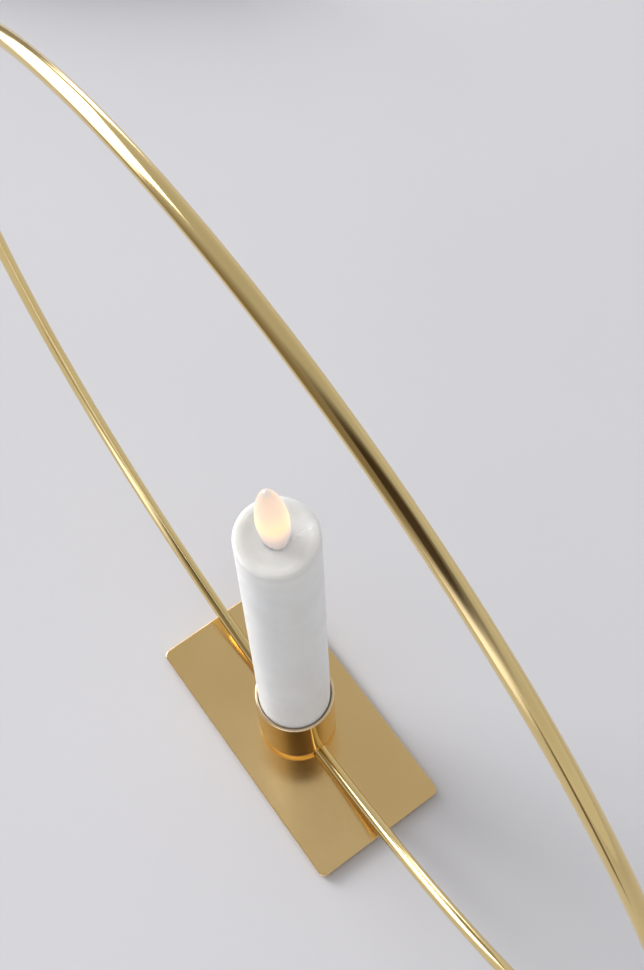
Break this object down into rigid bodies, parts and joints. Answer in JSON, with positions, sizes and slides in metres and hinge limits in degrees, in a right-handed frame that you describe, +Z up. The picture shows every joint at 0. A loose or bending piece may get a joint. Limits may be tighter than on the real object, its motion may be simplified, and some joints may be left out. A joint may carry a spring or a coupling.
{
  "type": "candle ring",
  "caption": "Brass hoop on a rectangular foot plate, with a cup at its foot holding a white battery candle with a glowing plastic flame.",
  "frame": {"origin": "middle of the underside of the felt under the foot plate", "axes": "+Z up; X along the foot plate and in the plane of the hoop; Y across the hoop, which leans a little towards -Y"},
  "size_m": [0.3, 0.046, 0.3027],
  "materials": {
    "hoop_brass": "polished",
    "plate_brass": "satin",
    "cup_brass": "polished",
    "turned_brass": "turned",
    "contact_steel": "nickel plated",
    "felt": "felt",
    "wax": "wax",
    "flame_plastic": "translucent",
    "lamp_resin": "clear",
    "white_plastic": "moulded",
    "black_plastic": "moulded",
    "cell_jacket": "plain jacket",
    "board_green": "board"
  },
  "bodies": {
    "stand": {"felt_pad": "felt", "base_plate": "plate_brass", "fixing_screws": "contact_steel", "hoop": "hoop_brass", "cup_hub": "turned_brass", "candle_cup": "cup_brass"},
    "candle": {"wax_shell": "wax", "battery_tube": "white_plastic", "return_strip": "contact_steel", "battery_lower": "cell_jacket", "battery_upper": "cell_jacket", "top_contact": "contact_steel", "board_carrier": "white_plastic", "circuit_board": "board_green", "control_chip": "black_plastic", "storage_capacitor": "cell_jacket", "chip_resistors": "black_plastic", "led_leads": "contact_steel", "led_lamp": "lamp_resin", "flame_holder": "white_plastic", "flame_shell": "flame_plastic"},
    "cap": {"battery_cap": "white_plastic", "contact_spring": "contact_steel", "switch_body": "black_plastic", "switch_pins": "contact_steel"},
    "slider": {"switch_slider": "white_plastic"}
  },
  "joints": [
    {"name": "candle_lift", "type": "slide", "parent": "stand", "child": "candle", "axis": [0, 0, 1], "range_m": [0, 0.04]},
    {"name": "cap_twist", "type": "hinge", "parent": "candle", "child": "cap", "pos_m": [0, 0, 0.0115], "axis": [0, 0, -1], "range_deg": [0, 60]},
    {"name": "switch_slide", "type": "slide", "parent": "cap", "child": "slider", "axis": [1, 0, 0], "range_m": [0, 0.002]}
  ]
}
